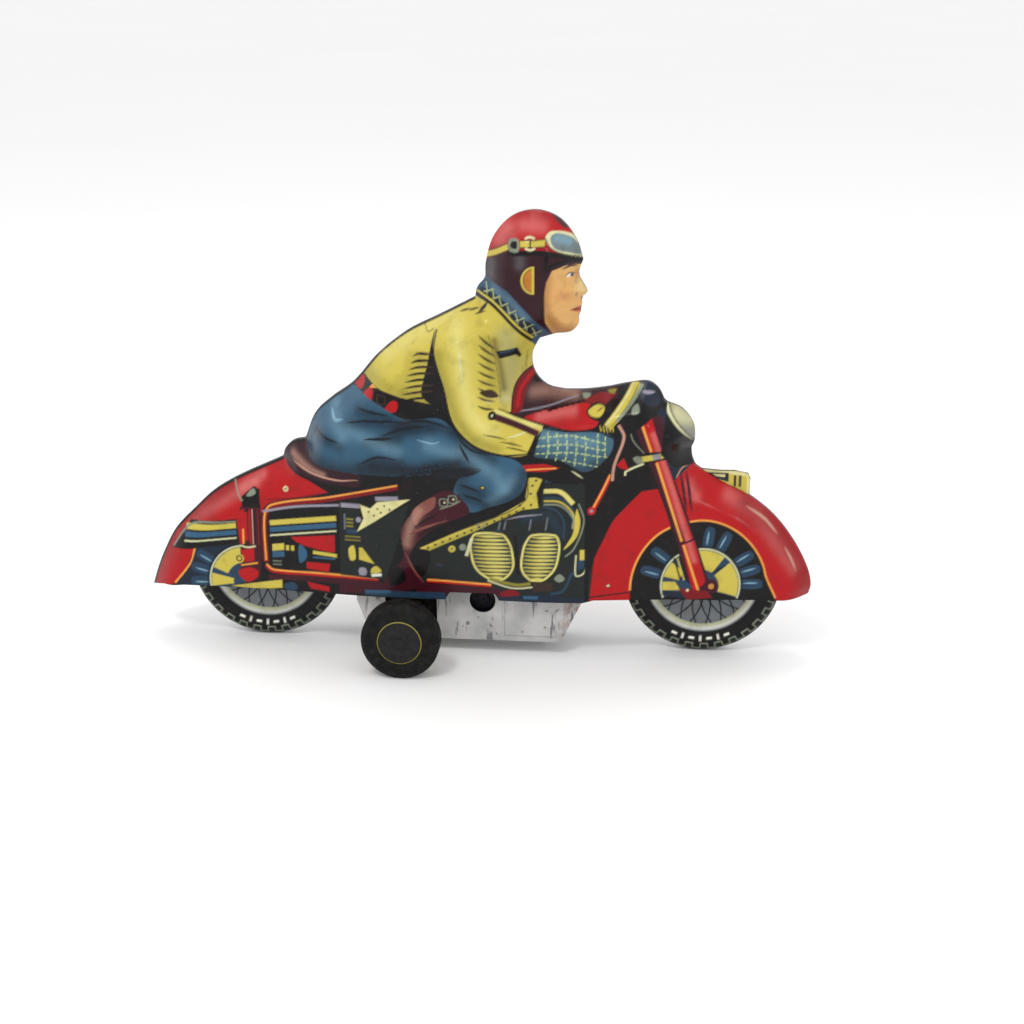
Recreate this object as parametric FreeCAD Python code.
"""Wind-up tin motorcycle and rider: two pressed tin halves round a clockwork motor.

Frame: +X is the way the toy drives, +Z is up, the seam between the two halves is the plane Y = 0.
The origin lies on the floor, midway along the toy. Millimetres and degrees.
"""

import FreeCAD, Part
import math
import os

V = FreeCAD.Vector
Y_AXIS = V(0, 1, 0)
OUT = "parts"

# ---- driving dimensions -------------------------------------------------------------------
TIN = 0.5                       # sheet of the two pressed halves
FLANGE = 1.0                    # straight rim of each half, next to the seam
ROLL_WIDTH = 8.0                # how far from the seam a half reaches its full depth
FENDER_DEPTH = 7.5              # depth of a half where nothing bulges
GRID = 3.0                      # spacing of the points that carry the pressed surface

ROAD_WHEEL_R = 22.2
ROAD_WHEEL_HALF = 3.0           # half the thickness of a front or rear wheel
ROAD_HUB_BORE = 1.05
ROAD_HUB_R = 1.6
ROAD_AXLE_R = 1.0
FRONT_X, REAR_X = 64.6, -61.0
STRIP = 0.6                     # sheet of brackets and motor plates

DRIVE_X, DRIVE_Z = -17.4, 10.9  # the axle of the two driving wheels, which stand on the floor
DRIVE_WHEEL_R = DRIVE_Z
DRIVE_OUTER = 31.7              # outer face of a driving wheel, from the seam
DRIVE_WIDTH = 7.0
DRIVE_AXLE_R = 1.25
BUSH_R = 4.2

KEY_X, KEY_Z = 3.0, 16.0        # winding arbor
ARBOR_R = 1.5
MODULE = 0.5
TEETH_GREAT, TEETH_PINION = 40, 10
TEETH_SECOND, TEETH_DRIVE = 36, 9
BACKLASH = 0.09
PRESSURE_ANGLE = math.radians(20)
RUNNING = 0.05                  # radial play of every shaft in its hole

PLATE_IN = 7.0                  # inner face of a motor plate, from the seam
COVER_HALF = 10.0
COVER_SHEET = 0.4
COVER_FLOOR = 4.0


# ---- the outline of a half, seen from the side: x along the toy, z up ------------------------
# Each stretch is a smooth curve through its points, and stretches meet at corners.
TAIL = [(-95.0, 14.2), (-93.4, 19.0), (-91.2, 24.3), (-87.2, 31.6), (-81.3, 37.8), (-75.5, 43.2),
        (-68.0, 47.8), (-54.8, 54.0)]
SEAT_BACK = [(-54.8, 54.0), (-54.0, 56.6), (-51.6, 58.8), (-48.2, 59.5)]
RIDER_BACK = [(-48.2, 59.5), (-45.0, 67.3), (-40.2, 71.8), (-34.0, 76.4), (-27.0, 84.4),
              (-18.5, 91.2), (-9.2, 96.0), (0.4, 101.0)]
SCARF_BACK = [(0.4, 101.0), (1.0, 103.8), (3.2, 106.2)]
HELMET = [(3.2, 106.2), (3.4, 111.0), (5.6, 118.0), (10.6, 123.2), (17.0, 124.8), (23.2, 122.7),
          (27.8, 117.2), (29.7, 111.6)]
FACE = [(29.7, 111.6), (28.9, 109.6), (28.6, 107.4), (30.9, 102.9), (29.2, 101.4), (29.6, 99.6),
        (29.0, 98.6), (29.2, 97.4), (28.6, 96.2), (28.7, 94.2), (26.6, 92.0), (22.6, 91.4)]
THROAT = [(22.6, 91.4), (18.0, 90.0)]
CHEST_NOTCH = [(18.0, 90.0), (16.0, 85.0), (16.9, 80.2), (20.4, 76.6), (25.2, 75.5)]
TANK_TOP = [(25.2, 75.5), (31.0, 75.7), (37.4, 76.6)]
BAR_TOP = [(37.4, 76.6), (42.6, 77.8), (48.0, 78.4), (51.0, 76.4), (52.8, 72.9)]
LAMP = [(52.8, 72.9), (57.6, 70.9), (60.8, 66.6), (61.2, 62.4), (60.3, 60.2)]
LAMP_NECK = [(60.3, 60.2), (60.7, 57.2), (61.7, 54.8)]
FRONT_FENDER = [(61.7, 54.8), (69.0, 50.4), (77.0, 46.4), (84.4, 40.4), (90.2, 32.8), (94.0, 25.4),
                (95.0, 21.0), (94.4, 18.3)]
STRETCHES = [TAIL, SEAT_BACK, RIDER_BACK, SCARF_BACK, HELMET, FACE, THROAT, CHEST_NOTCH, TANK_TOP,
             BAR_TOP, LAMP, LAMP_NECK, FRONT_FENDER]
BOTTOM = [(94.4, 18.3), (34.4, 18.1), (31.4, 17.3), (8.2, 17.6), (7.0, 19.6), (-5.8, 19.6),
          (-7.0, 17.4), (-39.0, 17.0), (-84.0, 16.5), (-90.5, 15.8), (-95.0, 14.2)]

# Bulges of a half, each a ridge from one point to another: (x, z, x, z, height, half width).
BULGES = [(-14.0, 22.0, 14.0, 22.0, 6.5, 40.0),     # room for the motor
          (-38.0, 61.0, 8.0, 56.0, 5.0, 11.0),      # thigh
          (10.0, 55.0, 22.0, 60.0, 2.5, 9.0),       # knee
          (-3.0, 92.0, 4.0, 69.0, 3.5, 7.5),        # upper arm
          (4.0, 67.0, 32.0, 62.0, 3.5, 7.0),        # forearm and glove
          (-24.0, 74.0, -8.0, 84.0, 4.5, 13.0),     # jacket
          (14.0, 106.0, 16.0, 112.0, 3.0, 10.0),    # head
          (-7.0, 46.0, -17.0, 28.0, 1.8, 6.5),      # boot
          (36.0, 68.0, 47.0, 75.0, 1.5, 7.0),       # handlebar
          (55.0, 66.0, 57.0, 67.0, 2.5, 6.0),       # headlamp
          (46.0, 71.0, 67.0, 22.0, 1.0, 4.5)]       # fork


def smooth_edge(points):
    """One curve through points (x, z), drawn in the XY plane."""
    at = [V(x, z, 0) for x, z in points]
    if len(at) == 2:
        return Part.LineSegment(at[0], at[1]).toShape()
    curve = Part.BSplineCurve()
    curve.interpolate(at)
    return curve.toShape()


SEAM_EDGES = [smooth_edge(s) for s in STRETCHES]
SEAM_SAMPLES = [p for e in SEAM_EDGES for p in e.discretize(12)]


def seam_distance(x, z):
    """Shortest distance from (x, z) to the seam line, negative outside the outline."""
    best, inside = 1e9, False
    ring = SEAM_SAMPLES + [V(bx, bz - 30.0, 0) for bx, bz in BOTTOM]
    last = ring[-1]
    for i, p in enumerate(ring):
        if (p.y > z) != (last.y > z) and x < p.x + (z - p.y) * (last.x - p.x) / (last.y - p.y):
            inside = not inside
        if 0 < i < len(SEAM_SAMPLES):
            dx, dz = p.x - last.x, p.y - last.y
            length2 = dx * dx + dz * dz
            t = 0.0 if length2 == 0 else max(0.0, min(1.0, ((x - last.x) * dx + (z - last.y) * dz) / length2))
            best = min(best, math.hypot(x - last.x - t * dx, z - last.y - t * dz))
        last = p
    return best if inside else -best


def ridge(x, z, x0, z0, x1, z1, height, half_width):
    """Height at (x, z) of a smooth ridge that runs between two points."""
    dx, dz = x1 - x0, z1 - z0
    t = max(0.0, min(1.0, ((x - x0) * dx + (z - z0) * dz) / (dx * dx + dz * dz)))
    return height * math.exp(-((x - x0 - t * dx) ** 2 + (z - z0 - t * dz) ** 2) / half_width ** 2)


def depth(x, z, inset=0.0):
    """How far a half's outside stands from the seam plane at (x, z), or its inside for inset = TIN."""
    full = FENDER_DEPTH + sum(ridge(x, z, *bulge) for bulge in BULGES) - inset
    start = 0.0 if inset else FLANGE
    share = max(-0.6, min(1.0, (seam_distance(x, z) - inset) / ROLL_WIDTH))
    return start + (full - start) * math.sin(math.pi / 2 * share)


def pressed_block(inset, lift=0.0):
    """Everything between a pressed surface, moved lift towards the seam, and far beyond the seam."""
    x0, z0 = -102.0, 5.0
    nx, nz = int(204 / GRID) + 1, int(126 / GRID) + 1
    rows = [[depth(x0 + i * GRID, z0 + j * GRID, inset) - lift for j in range(nz)] for i in range(nx)]
    surface = Part.BSplineSurface()
    surface.interpolate(rows, x0, GRID, z0, GRID)
    block = surface.toShape().extrude(V(0, 0, -80))
    block.rotate(V(0, 0, 0), V(1, 0, 0), 90)
    return block


def within_halves(shape):
    """The part of a shape that reaches no further than the middle of the tin of both halves."""
    block = pressed_block(0, TIN / 2)
    return shape.common(block).common(mirrored(block))


def flat_prism(wire, y_low, y_high):
    """A closed wire drawn in the XY plane as (x, z), made a solid between two planes of constant y."""
    solid = Part.Face(wire).extrude(V(0, 0, y_high - y_low))
    solid.rotate(V(0, 0, 0), V(1, 0, 0), 90)
    solid.translate(V(0, y_high, 0))
    return solid


def body_half():
    """The right half: a thin pressed shell, open along its lower edge."""
    low = [V(x, z, 0) for x, z in BOTTOM]
    edges = SEAM_EDGES + [Part.LineSegment(a, b).toShape() for a, b in zip(low, low[1:])]
    outline = Part.Wire(Part.__sortEdges__(edges))
    outer = flat_prism(outline, -40, 0).common(pressed_block(0))
    return outer.cut(pressed_block(TIN))


# ---- general shapes ------------------------------------------------------------------------
def rod(x, z, r, y0, y1, bore=0.0):
    """A round bar or tube along Y."""
    solid = Part.makeCylinder(r, y1 - y0, V(x, y0, z), Y_AXIS)
    if bore:
        solid = solid.cut(Part.makeCylinder(bore, y1 - y0 + 2, V(x, y0 - 1, z), Y_AXIS))
    return solid


def box(x0, x1, y0, y1, z0, z1):
    return Part.makeBox(x1 - x0, y1 - y0, z1 - z0, V(x0, y0, z0))


def turned(profile, x, z):
    """A profile of (radius, y) points turned about the axis through (x, z) along Y."""
    points = [V(x + r, y, z) for r, y in profile]
    wire = Part.makePolygon(points + points[:1])
    return Part.Face(wire).revolve(V(x, 0, z), Y_AXIS, 360)


def mirrored(shape):
    return shape.mirror(V(0, 0, 0), Y_AXIS)


def write(name, *shapes):
    """Writes one node; several solids stay separate in it."""
    solids = [s for shape in shapes for s in shape.Solids]
    for s in solids:
        assert s.isValid(), name
    shape = solids[0] if len(solids) == 1 else Part.makeCompound(solids)
    shape.exportStep(os.path.join(OUT, name + ".step"))
    return shape


# ---- gears ---------------------------------------------------------------------------------
def gear(x, z, teeth, y0, y1, bore, turn=0.0):
    """A spur gear with involute flanks. turn is the angle of its first tooth, in radians."""
    pitch = MODULE * teeth / 2
    base = pitch * math.cos(PRESSURE_ANGLE)
    tip = pitch + MODULE
    root = pitch - 1.25 * MODULE
    involute = math.tan(PRESSURE_ANGLE) - PRESSURE_ANGLE
    half_pitch_angle = math.pi / (2 * teeth) - BACKLASH / (4 * pitch)
    points = []
    for k in range(teeth):
        centre = turn + 2 * math.pi * k / teeth
        flank = []
        for i in range(5):
            r = max(base, root) + (tip - max(base, root)) * i / 4
            a = math.acos(min(1.0, base / r))
            flank.append((r, half_pitch_angle + involute - (math.tan(a) - a)))
        foot = flank[0][1]
        side = [(root, foot)] + flank if root < base else flank
        points += [(r, centre - a) for r, a in side] + [(r, centre + a) for r, a in reversed(side)]
    at = [V(x + r * math.cos(a), y0, z + r * math.sin(a)) for r, a in points]
    body = Part.Face(Part.makePolygon(at + at[:1])).extrude(V(0, y1 - y0, 0))
    return body.cut(rod(x, z, bore, y0 - 1, y1 + 1))


def mesh_turn(x0, z0, teeth0, turn0, x1, z1, teeth1):
    """The angle of the first tooth of gear 1 that puts a gap of it over a tooth of gear 0."""
    line = math.atan2(z1 - z0, x1 - x0)
    phase = (line - turn0) * teeth0 / (2 * math.pi)
    return line + math.pi + (phase + 0.5) * 2 * math.pi / teeth1


# ---- places worked out from the driving dimensions ------------------------------------------
GREAT_TO_SECOND = MODULE * (TEETH_GREAT + TEETH_PINION) / 2
SECOND_TO_DRIVE = MODULE * (TEETH_SECOND + TEETH_DRIVE) / 2
span_x, span_z = DRIVE_X - KEY_X, DRIVE_Z - KEY_Z
span = math.hypot(span_x, span_z)
along = (GREAT_TO_SECOND ** 2 - SECOND_TO_DRIVE ** 2 + span ** 2) / (2 * span)
across = math.sqrt(GREAT_TO_SECOND ** 2 - along ** 2)
SECOND_X = KEY_X + along * span_x / span + across * span_z / span
SECOND_Z = KEY_Z + along * span_z / span - across * span_x / span

PILLARS = [(17.5, 9.0), (17.5, 25.0), (-23.5, 24.5), (-9.3, 6.9)]
PILLAR_R, TENON_R = 1.5, 1.0
SPRING_PILLAR = PILLARS[0]


# ---- body ----------------------------------------------------------------------------------
def make_halves():
    right = body_half()
    write("right_body_shell", right)
    write("left_body_shell", mirrored(right))


def make_number_plate():
    """The plate that stands on the front fender, in the seam plane."""
    top = [(63.2, 53.9), (69.0, 53.5), (72.4, 53.6), (76.2, 52.9), (76.9, 51.6), (76.8, 46.8)]
    foot = [(75.4, 45.4), (69.0, 48.6), (64.0, 51.6)]
    points = [V(x, z, 0) for x, z in top + foot]
    wire = Part.makePolygon(points + points[:1])
    write("front_number_plate", flat_prism(wire, -0.3, 0.3))


# ---- front and rear wheels -----------------------------------------------------------------
def wheel_disc(x, side):
    """One of the two dished tin discs of a road wheel; side is -1 right, 1 left."""
    r = ROAD_WHEEL_R
    outer = [(r, 0.0), (r, 0.7), (r - 0.5, 1.9), (r - 1.6, 2.8), (r - 3.2, 3.0), (r - 4.8, 2.6),
             (r - 6.2, 1.9), (r - 7.6, 1.7), (r - 8.6, 1.3), (6.0, 1.3), (4.2, 2.2), (2.4, 2.6)]
    sheet = 0.4
    profile = outer + [(ROAD_HUB_R, 2.6), (ROAD_HUB_R, 2.6 - sheet), (2.2, 2.6 - sheet),
                       (4.1, 2.2 - sheet), (5.9, 1.3 - sheet), (r - 8.5, 1.3 - sheet),
                       (r - 7.5, 1.7 - sheet), (r - 6.2, 1.9 - sheet), (r - 4.7, 2.6 - sheet),
                       (r - 3.2, 3.0 - sheet), (r - 1.8, 2.8 - sheet), (r - 0.9, 1.7), (r - 0.5, 0.7),
                       (r - 0.5, 0.0)]
    return turned([(radius, side * y) for radius, y in profile], x, ROAD_WHEEL_R)


def make_road_wheel(name, x):
    z = ROAD_WHEEL_R
    write(name + "_wheel_right_disc", wheel_disc(x, -1))
    write(name + "_wheel_left_disc", wheel_disc(x, 1))
    write(name + "_wheel_hub", rod(x, z, ROAD_HUB_R, -3.3, 3.3, ROAD_HUB_BORE))


def make_wheel_bracket(name, x):
    """A bent strip that straddles the wheel and is tabbed into both halves; its axle is riveted in."""
    z, half_width, arm_in, top = ROAD_WHEEL_R, 4.0, 3.9, ROAD_WHEEL_R + 23.8
    arm_out = arm_in + STRIP
    arm = box(x - half_width, x + half_width, arm_in, arm_out, z - 3.0, top)
    arm = arm.cut(rod(x, z, ROAD_AXLE_R, 0, 10))
    bridge = box(x - half_width, x + half_width, -arm_out, arm_out, top, top + STRIP)
    ear = box(x - 2.5, x + 2.5, arm_in, 12.0, 30.0, 30.0 + STRIP)
    bracket = within_halves(arm.fuse([mirrored(arm), bridge, ear, mirrored(ear)])).removeSplitter()
    write(name + "_wheel_bracket", bracket)
    head = rod(x, z, ROAD_AXLE_R + 0.7, arm_out, arm_out + 0.8)
    axle = rod(x, z, ROAD_AXLE_R, -arm_out - 0.4, arm_out + 0.4).fuse([head, mirrored(head)])
    write(name + "_axle", axle.removeSplitter())


# ---- clockwork motor -----------------------------------------------------------------------
def motor_plate(side):
    """A side plate of the motor, with bearing holes and with ears to the body half and the cover."""
    outline = [(-27.0, 15.0), (-23.0, 5.4), (20.0, 5.4), (22.5, 8.0), (22.5, 29.0), (19.0, 31.5),
               (-22.0, 31.5), (-27.0, 27.0)]
    wire = Part.makePolygon([V(x, z, 0) for x, z in outline + outline[:1]])
    plate = flat_prism(wire, PLATE_IN, PLATE_IN + STRIP)
    for x in (-16.0, 12.0):
        plate = plate.fuse(box(x, x + 5.0, PLATE_IN, 20.0, 31.5 - STRIP, 31.5))
    for x in (-7.5, 14.0):
        plate = plate.fuse(box(x, x + 4.0, PLATE_IN, COVER_HALF - COVER_SHEET / 2, 19.0, 19.0 + STRIP))
    plate = within_halves(plate)
    holes = [(KEY_X, KEY_Z, ARBOR_R + RUNNING), (SECOND_X, SECOND_Z, 1.0 + RUNNING),
             (DRIVE_X, DRIVE_Z, DRIVE_AXLE_R + RUNNING)]
    holes += [(x, z, TENON_R) for x, z in PILLARS]
    for x, z, r in holes:
        plate = plate.cut(rod(x, z, r, 0, 10))
    plate = plate.removeSplitter()
    return plate if side > 0 else mirrored(plate)


def make_motor_frame():
    write("motor_plate_left", motor_plate(1))
    write("motor_plate_right", motor_plate(-1))
    end = PLATE_IN + STRIP
    pillars = []
    for x, z in PILLARS:
        tenon = rod(x, z, TENON_R, -end - 0.3, end + 0.3)
        pillars.append(rod(x, z, PILLAR_R, -PLATE_IN, PLATE_IN).fuse(tenon).removeSplitter())
    write("motor_pillars", *pillars)


def plan_prism(points, z0, z1):
    """A polygon of (x, y) points made a solid between two heights."""
    wire = Part.makePolygon([V(x, y, z0) for x, y in points + points[:1]])
    return Part.Face(wire).extrude(V(0, 0, z1 - z0))


def cover_mass(inset, top):
    """The cover as a filled shape, inset on all sides but the top."""
    half, front, back = COVER_HALF - inset, 31.4 - inset, -33.0 + inset
    plan = [(back, -half), (25.8, -half), (front, -5.0), (front, 5.0), (25.8, half), (back, half)]
    mass = plan_prism(plan, COVER_FLOOR + inset, top)
    floor, top_of_slope = COVER_FLOOR + inset, 17.5 + inset
    slope_front = [(25.0 - inset, 0), (25.0 - inset, floor), (front + 1, top_of_slope), (front + 9, 17.5),
                   (front + 9, 0), (25.0 - inset, 0)]
    slope_back = [(inset - 29.0, 0), (inset - 29.0, floor), (back - 1, top_of_slope), (back - 9, 17.5),
                  (back - 9, 0), (inset - 29.0, 0)]
    for slope in (slope_front, slope_back):
        wire = Part.makePolygon([V(a, b, 0) for a, b in slope])
        mass = mass.cut(flat_prism(wire, -20, 20))
    return mass


def make_motor_cover():
    """The painted tin tray under the motor, with a slot for the axle and a hole for the arbor."""
    top = 22.0
    tray = cover_mass(0, top).cut(cover_mass(COVER_SHEET, top + 1))
    panel = 0.35
    x0, x1 = 9.2, 24.0
    raised = box(x0, x1, COVER_HALF - COVER_SHEET, COVER_HALF + panel, COVER_FLOOR + 1.6, 19.0)
    rim = [e for e in raised.Edges if abs(e.CenterOfMass.y - COVER_HALF - panel) < 0.01]
    raised = raised.makeChamfer(0.3, rim)
    under = COVER_HALF + panel - COVER_SHEET
    hollow = box(x0 + 0.5, x1 - 0.5, COVER_HALF - 2, under, COVER_FLOOR + 2.1, 18.5)
    tray = tray.fuse([raised, mirrored(raised)]).cut(hollow).cut(mirrored(hollow))
    slot_half, below_axle = 7.4, BUSH_R + 0.5
    slot = box(DRIVE_X - slot_half, DRIVE_X + slot_half, -20, 20, DRIVE_Z - below_axle, top + 5)
    hole = rod(KEY_X, KEY_Z, 3.7, -20, 20)
    write("motor_cover", tray.cut(slot).cut(hole).removeSplitter())


def make_winding_arbor():
    """The arbor with its spring collet, click spring and key; the key is on the left."""
    square = 2.0
    shaft = rod(KEY_X, KEY_Z, ARBOR_R, -PLATE_IN - 1.2, 14.2)
    shank = box(KEY_X - square / 2, KEY_X + square / 2, 14.2, 24.0, KEY_Z - square / 2, KEY_Z + square / 2)
    write("winding_arbor", shaft.fuse(shank).removeSplitter())
    write("spring_collet", rod(KEY_X, KEY_Z, 2.3, -6.6, -0.2, ARBOR_R))
    fingers = []
    for k in range(3):
        a = 120.0 * k + 30.0
        finger = box(KEY_X + 2.0, KEY_X + 7.2, 1.35, 1.6, KEY_Z - 0.9, KEY_Z + 0.9)
        tip = box(KEY_X + 6.6, KEY_X + 7.2, 1.18, 1.35, KEY_Z - 0.9, KEY_Z + 0.9)
        arm = finger.fuse(tip).removeSplitter()
        arm.rotate(V(KEY_X, 0, KEY_Z), Y_AXIS, a)
        fingers.append(arm)
    disc = rod(KEY_X, KEY_Z, 3.2, 1.35, 1.6)
    click = disc.fuse(fingers).cut(rod(KEY_X, KEY_Z, ARBOR_R, 0, 3)).removeSplitter()
    write("click_spring", click)


def make_key():
    """A flat butterfly key riveted to a collar."""
    lobe_r, lobe_at, thick, y_mid = 4.7, 4.6, 1.2, 25.6
    collar_r, collar_end = 2.6, 24.0
    collar = rod(KEY_X, KEY_Z, collar_r, 14.6, collar_end)
    socket = box(KEY_X - 1.0, KEY_X + 1.0, 14.0, 24.0, KEY_Z - 1.0, KEY_Z + 1.0)
    collar = collar.cut(socket)
    wing = Part.makeCylinder(lobe_r, thick, V(KEY_X - lobe_at, y_mid, KEY_Z - thick / 2), V(0, 0, 1))
    hole = Part.makeCylinder(2.0, thick * 3, V(KEY_X - lobe_at - 0.4, y_mid + 0.2, KEY_Z - thick), V(0, 0, 1))
    other = wing.mirror(V(KEY_X, 0, 0), V(1, 0, 0))
    other_hole = hole.mirror(V(KEY_X, 0, 0), V(1, 0, 0))
    neck = box(KEY_X - 2.4, KEY_X + 2.4, 24.0, y_mid + 2.5, KEY_Z - thick / 2, KEY_Z + thick / 2)
    gap = rod(KEY_X, KEY_Z, collar_r + 0.05, 14.0, collar_end)
    wings = neck.fuse([wing, other]).cut(hole).cut(other_hole).cut(gap).removeSplitter()
    wings.rotate(V(KEY_X, 0, KEY_Z), Y_AXIS, -35)
    write("winding_key_wings", wings)
    write("winding_key_collar", collar)


def make_mainspring():
    """A spiral strip from the collet to the hook on a pillar."""
    strip, width, inner, pitch, turns = 0.3, 5.4, 2.4, 1.0, 7.55
    px, pz = SPRING_PILLAR
    reach = math.hypot(px - KEY_X, pz - KEY_Z) - PILLAR_R
    end_angle = math.atan2(pz - KEY_Z, px - KEY_X)
    start_angle = end_angle + 2 * math.pi * turns
    tail = math.radians(100)
    coil_end = inner + pitch * (turns - tail / (2 * math.pi))

    def radius(a):
        swept = start_angle - a
        if swept < 2 * math.pi * turns - tail:
            return inner + pitch * swept / (2 * math.pi)
        share = (swept - 2 * math.pi * turns + tail) / tail
        return coil_end + (reach - coil_end) * share ** 1.6

    steps = int(turns * 20)
    angles = [start_angle - 2 * math.pi * turns * i / steps for i in range(steps + 1)]

    def side(extra):
        curve = Part.BSplineCurve()
        rings = [(radius(a) + extra, a) for a in angles]
        curve.interpolate([V(KEY_X + r * math.cos(a), -0.6, KEY_Z + r * math.sin(a)) for r, a in rings])
        return curve

    low, high = side(0.0), side(strip)
    ends = [Part.LineSegment(low.StartPoint, high.StartPoint).toShape(),
            Part.LineSegment(low.EndPoint, high.EndPoint).toShape()]
    wire = Part.Wire(Part.__sortEdges__([low.toShape(), high.toShape()] + ends))
    write("mainspring", Part.Face(wire).extrude(V(0, -width, 0)))


def make_train():
    great_turn = 0.0
    great = gear(KEY_X, KEY_Z, TEETH_GREAT, 0.3, 1.1, ARBOR_R + RUNNING, great_turn)
    for k in range(6):
        a = math.radians(60 * k)
        great = great.cut(rod(KEY_X + 6.9 * math.cos(a), KEY_Z + 6.9 * math.sin(a), 1.1, 0, 2))
    write("great_wheel", great)
    pinion_turn = mesh_turn(KEY_X, KEY_Z, TEETH_GREAT, great_turn, SECOND_X, SECOND_Z, TEETH_PINION)
    write("second_pinion", gear(SECOND_X, SECOND_Z, TEETH_PINION, -0.1, 1.7, 1.0, pinion_turn))
    write("second_arbor", rod(SECOND_X, SECOND_Z, 1.0, -PLATE_IN - 1.0, PLATE_IN + 1.0))
    second_turn = 0.1
    second = gear(SECOND_X, SECOND_Z, TEETH_SECOND, 3.4, 4.2, 1.0, second_turn)
    for k in range(5):
        a = math.radians(72 * k)
        second = second.cut(rod(SECOND_X + 5.0 * math.cos(a), SECOND_Z + 5.0 * math.sin(a), 1.6, 2, 6))
    write("second_wheel", second)
    drive_turn = mesh_turn(SECOND_X, SECOND_Z, TEETH_SECOND, second_turn, DRIVE_X, DRIVE_Z, TEETH_DRIVE)
    write("drive_pinion", gear(DRIVE_X, DRIVE_Z, TEETH_DRIVE, 2.9, 4.7, DRIVE_AXLE_R, drive_turn))


# ---- driving wheels ------------------------------------------------------------------------
def make_drive_wheels():
    face, inner = DRIVE_OUTER, DRIVE_OUTER - DRIVE_WIDTH
    r, disc_r, edge = DRIVE_WHEEL_R, 6.3, 1.1
    tyre = [(disc_r, inner), (r - edge, inner), (r, inner + edge), (r, face - edge - 0.4),
            (r - edge, face - 0.4), (disc_r, face - 0.4)]
    disc = [(DRIVE_AXLE_R, inner - 0.4), (3.0, inner - 0.4), (3.0, inner), (disc_r, inner),
            (disc_r, face - 0.4), (disc_r - 0.4, face - 0.1), (2.0, face - 0.4), (DRIVE_AXLE_R, face - 0.4)]
    bush = [(DRIVE_AXLE_R, COVER_HALF - 1.6), (BUSH_R, COVER_HALF - 1.6), (BUSH_R, COVER_HALF + 3.4),
            (3.0, COVER_HALF + 4.6), (3.0, inner - 0.4), (DRIVE_AXLE_R, inner - 0.4)]
    for side, name in ((-1, "right"), (1, "left")):
        for node, profile in (("tyre", tyre), ("wheel_disc", disc), ("axle_bush", bush)):
            shape = turned([(radius, side * y) for radius, y in profile], DRIVE_X, DRIVE_Z)
            write(f"{name}_drive_{node}", shape)
    write("drive_axle", rod(DRIVE_X, DRIVE_Z, DRIVE_AXLE_R, 0.1 - face, face - 0.1))


os.makedirs(OUT, exist_ok=True)
make_halves()
make_number_plate()
for wheel, wheel_x in (("front", FRONT_X), ("rear", REAR_X)):
    make_road_wheel(wheel, wheel_x)
    make_wheel_bracket(wheel, wheel_x)
make_motor_frame()
make_motor_cover()
make_winding_arbor()
make_key()
make_mainspring()
make_train()
make_drive_wheels()
